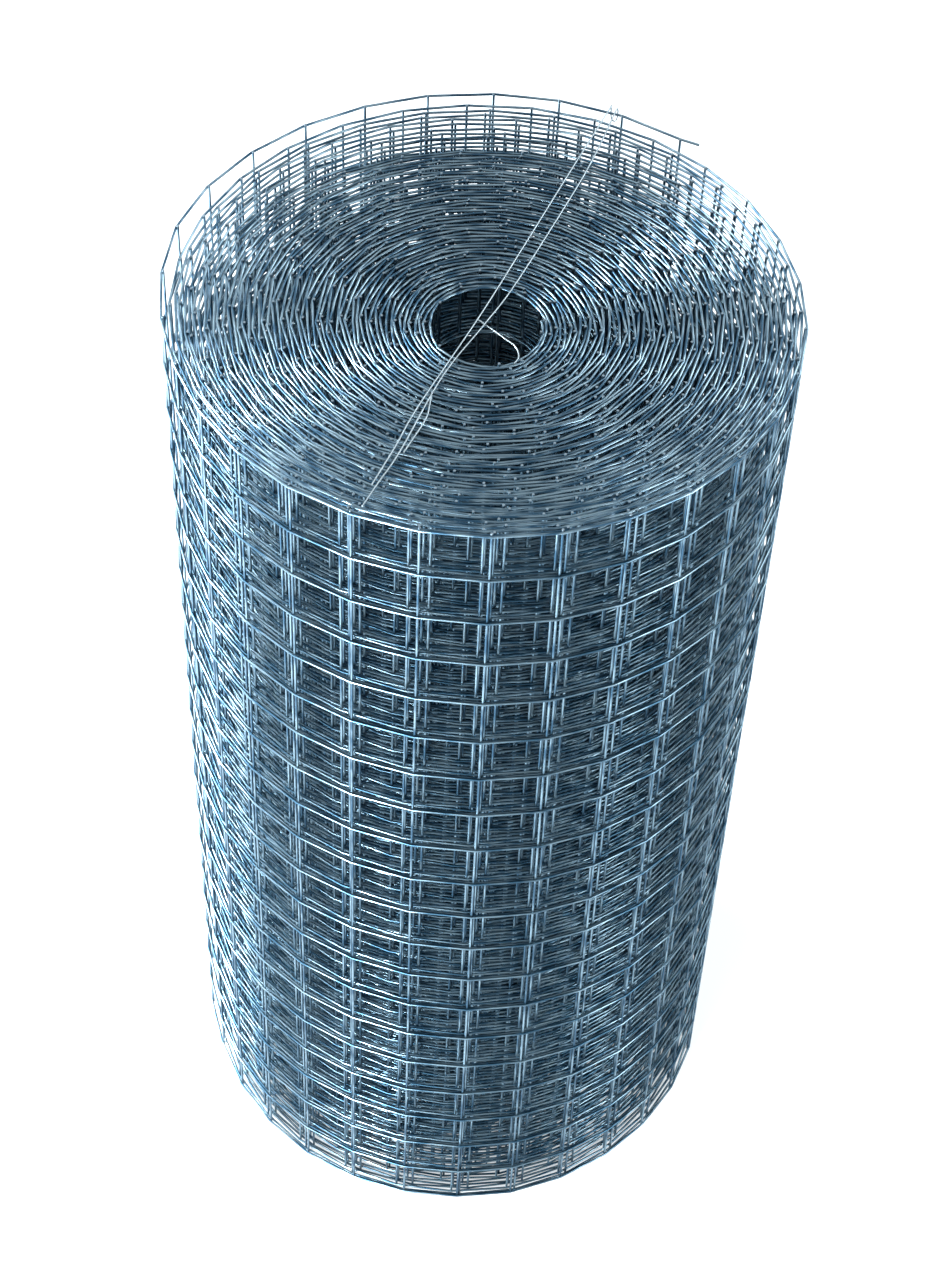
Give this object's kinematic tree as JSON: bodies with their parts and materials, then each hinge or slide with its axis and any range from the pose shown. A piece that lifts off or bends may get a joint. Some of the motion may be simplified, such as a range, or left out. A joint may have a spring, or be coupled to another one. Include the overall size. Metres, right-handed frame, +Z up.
{
  "type": "welded wire mesh roll",
  "caption": "Roll of galvanised welded wire mesh standing on its end, with an open bore and a binding wire across the top.",
  "frame": {"origin": "the bore's axis at the floor that the roll stands on", "axes": "+Z up along the bore, -Y towards the front that the picture shows"},
  "size_m": [0.2706, 0.2743, 0.5051],
  "materials": {
    "galvanised_mesh": "hot-dip galvanised steel wire, bluish grey",
    "binding_wire": "thin galvanised binding wire"
  },
  "bodies": {
    "root": {"mesh_roll": "galvanised_mesh", "tie_wire": "binding_wire"}
  },
  "joints": []
}
